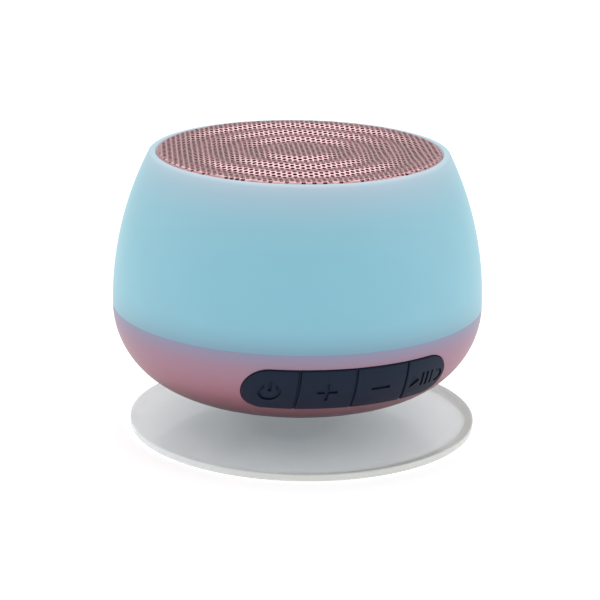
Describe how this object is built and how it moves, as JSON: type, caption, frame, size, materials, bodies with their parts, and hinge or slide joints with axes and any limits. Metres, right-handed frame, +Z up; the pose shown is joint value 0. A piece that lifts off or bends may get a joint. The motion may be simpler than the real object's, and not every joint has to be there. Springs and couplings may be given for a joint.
{
  "type": "shower speaker",
  "caption": "Round splash-proof speaker with a frosted lamp shell, perforated grille, keys on the base and a clear suction cup under it.",
  "frame": {"origin": "centre of the suction cup's contact plane", "axes": "+Z up through the body, -Y towards the keys, +Y towards the charging port"},
  "size_m": [0.088, 0.0881, 0.067],
  "materials": {
    "clear_pvc": "clear, glossy",
    "lamp_shell": "frosted, lit from inside",
    "rose_paint": "satin metallic paint",
    "rose_steel": "perforated, plated",
    "key_rubber": "matt",
    "dark_rubber": "matt",
    "seal_rubber": "soft",
    "black_plastic": "matt",
    "white_plastic": "matt reflector",
    "bearing_plastic": "slippery",
    "board_green": "solder mask",
    "board_white": "solder mask",
    "chip_black": "moulded",
    "connector": "moulded",
    "switch_metal": "pressed",
    "screw_steel": "zinc plated",
    "stainless": "turned",
    "basket_black": "black paint",
    "magnet": "sintered",
    "motor_steel": "zinc plated",
    "copper": "enamelled wire",
    "former": "thin sheet",
    "paper": "pressed paper",
    "spider_cloth": "resin cloth",
    "black_cloth": "woven",
    "cell_pouch": "laminated foil",
    "wire_sheath": "sheath",
    "ribbon": "film",
    "led": "lens"
  },
  "bodies": {
    "suction_cup": {"suction_cup": "clear_pvc"},
    "cup_core": {"cup_stud": "stainless", "stud_seal": "dark_rubber", "pivot_washer": "stainless", "pivot_screw": "screw_steel"},
    "port_flap": {"port_cover": "dark_rubber"},
    "driver_cone": {"cone": "paper", "dust_cap": "paper", "coil_former": "former", "voice_coil": "copper"},
    "power_key": {"key_power": "key_rubber", "plunger_power": "bearing_plastic"},
    "plus_key": {"key_plus": "key_rubber", "plunger_plus": "bearing_plastic"},
    "minus_key": {"key_minus": "key_rubber", "plunger_minus": "bearing_plastic"},
    "play_key": {"key_play": "key_rubber", "plunger_play": "bearing_plastic"},
    "housing": {"socket_bush": "bearing_plastic", "base_shell": "rose_paint", "seam_seal": "seal_rubber", "keypad_mat": "dark_rubber", "keypad_bracket": "black_plastic", "bracket_screws": "screw_steel", "key_board": "board_green", "key_board_screws": "screw_steel", "tact_switches": "switch_metal", "port_cover_anchor": "dark_rubber", "main_board": "board_green", "bluetooth_chip": "chip_black", "amplifier_chip": "chip_black", "capacitors": "former", "board_connectors": "connector", "usb_socket": "switch_metal", "microphone": "dark_rubber", "battery_tray": "black_plastic", "battery": "cell_pouch", "board_screws": "screw_steel", "inner_frame": "white_plastic", "led_board": "board_white", "led_chips": "led", "case_screws": "screw_steel", "diffuser_shell": "lamp_shell", "top_seal": "seal_rubber", "driver_gasket": "dark_rubber", "driver_basket": "basket_black", "terminal_strip": "board_green", "driver_screws": "screw_steel", "driver_top_plate": "motor_steel", "driver_magnet": "magnet", "driver_yoke": "motor_steel", "spider": "spider_cloth", "cone_surround": "dark_rubber", "grille": "rose_steel", "grille_cloth": "black_cloth", "speaker_wires": "wire_sheath", "battery_wires": "wire_sheath", "led_wires": "wire_sheath", "key_ribbon": "ribbon"}
  },
  "joints": [
    {"name": "cup_press", "type": "slide", "parent": "suction_cup", "child": "cup_core", "axis": [0, 0, 1], "range_m": [-0.0018, 0], "stiffness_N_per_m": 3000, "springref_m": 0.0012, "deforming": ["suction_cup"]},
    {"name": "housing_swivel", "type": "hinge", "parent": "cup_core", "child": "housing", "pos_m": [0, 0, 0.013], "axis": [0, 0, 1], "continuous": true},
    {"name": "power_key_press", "type": "slide", "parent": "housing", "child": "power_key", "axis": [0, 1, 0], "range_m": [0, 0.0006], "stiffness_N_per_m": 100},
    {"name": "plus_key_press", "type": "slide", "parent": "housing", "child": "plus_key", "axis": [0, 1, 0], "range_m": [0, 0.0006], "stiffness_N_per_m": 100},
    {"name": "minus_key_press", "type": "slide", "parent": "housing", "child": "minus_key", "axis": [0, 1, 0], "range_m": [0, 0.0006], "stiffness_N_per_m": 100},
    {"name": "play_key_press", "type": "slide", "parent": "housing", "child": "play_key", "axis": [0, 1, 0], "range_m": [0, 0.0006], "stiffness_N_per_m": 100},
    {"name": "port_cover_swing", "type": "hinge", "parent": "housing", "child": "port_flap", "pos_m": [0.007, 0.0421, 0.0225], "axis": [0, 0, -1], "range_deg": [0, 100]},
    {"name": "cone_stroke", "type": "slide", "parent": "housing", "child": "driver_cone", "axis": [0, 0, 1], "range_m": [-0.0015, 0.0015], "stiffness_N_per_m": 400, "deforming": ["spider", "cone_surround"]}
  ]
}
